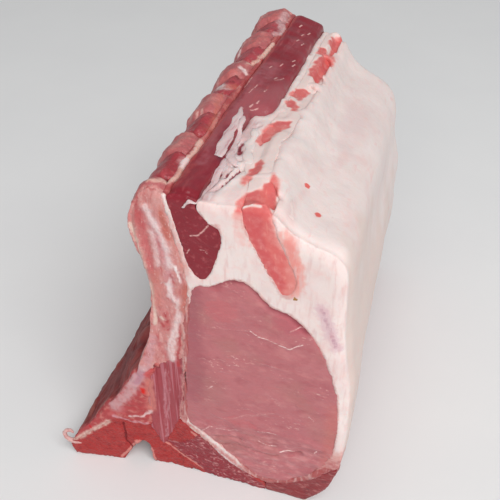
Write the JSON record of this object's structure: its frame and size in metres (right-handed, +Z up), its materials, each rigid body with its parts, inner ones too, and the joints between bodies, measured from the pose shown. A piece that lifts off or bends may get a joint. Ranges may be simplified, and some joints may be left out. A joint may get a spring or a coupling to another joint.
{
  "type": "raw bone-in pork loin",
  "caption": "Raw bone-in pork loin joint standing on its sawn chine, with rib bones on one side, a thick layer of back fat on the other and the eye of meat bare at each cut end.",
  "frame": {"origin": "middle of the box on the ground, under the joint", "axes": "+Z up, +Y along the loin from the cut that shows best to the far cut, +X from the rib side to the back fat"},
  "size_m": [0.1132, 0.1572, 0.1399],
  "materials": {
    "fat": "moist, faintly pink white fat",
    "eye_meat": "wet cut pink muscle",
    "dark_meat": "moist dark red muscle",
    "pale_meat": "moist salmon red muscle",
    "striped_meat": "dark red muscle with fine white stripes",
    "red_meat": "moist red muscle",
    "bone": "sawn spongy red bone",
    "rib_bone": "moist bone under a thin film",
    "gristle": "wet pale gristle",
    "disc": "wet white disc gristle"
  },
  "bodies": {
    "root": {"fat": "fat", "fat_strand_1": "fat", "fat_strand_2": "fat", "fat_strand_3": "fat", "fat_strand_4": "fat", "eye_muscle": "eye_meat", "tail_muscle": "dark_meat", "side_muscle": "pale_meat", "striped_muscle": "striped_meat", "sole_muscle": "red_meat", "rib_meat_1": "red_meat", "rib_meat_2": "red_meat", "rib_meat_3": "red_meat", "rib_meat_4": "red_meat", "rib_meat_5": "red_meat", "feather_meat_1": "red_meat", "feather_meat_2": "red_meat", "feather_meat_3": "red_meat", "feather_meat_4": "red_meat", "feather_meat_5": "red_meat", "rib_1": "rib_bone", "rib_2": "rib_bone", "rib_3": "rib_bone", "rib_4": "rib_bone", "rib_5": "rib_bone", "rib_6": "rib_bone", "vertebra_1": "bone", "vertebra_2": "bone", "vertebra_3": "bone", "vertebra_4": "bone", "vertebra_5": "bone", "vertebra_6": "bone", "feather_bone_1": "bone", "feather_bone_2": "bone", "feather_bone_3": "bone", "feather_bone_4": "bone", "feather_bone_5": "bone", "feather_bone_6": "bone", "arch_tip": "bone", "joint_gristle": "gristle", "edge_curl": "gristle", "disc_1": "disc", "disc_2": "disc", "disc_3": "disc", "disc_4": "disc", "disc_5": "disc"}
  },
  "joints": []
}
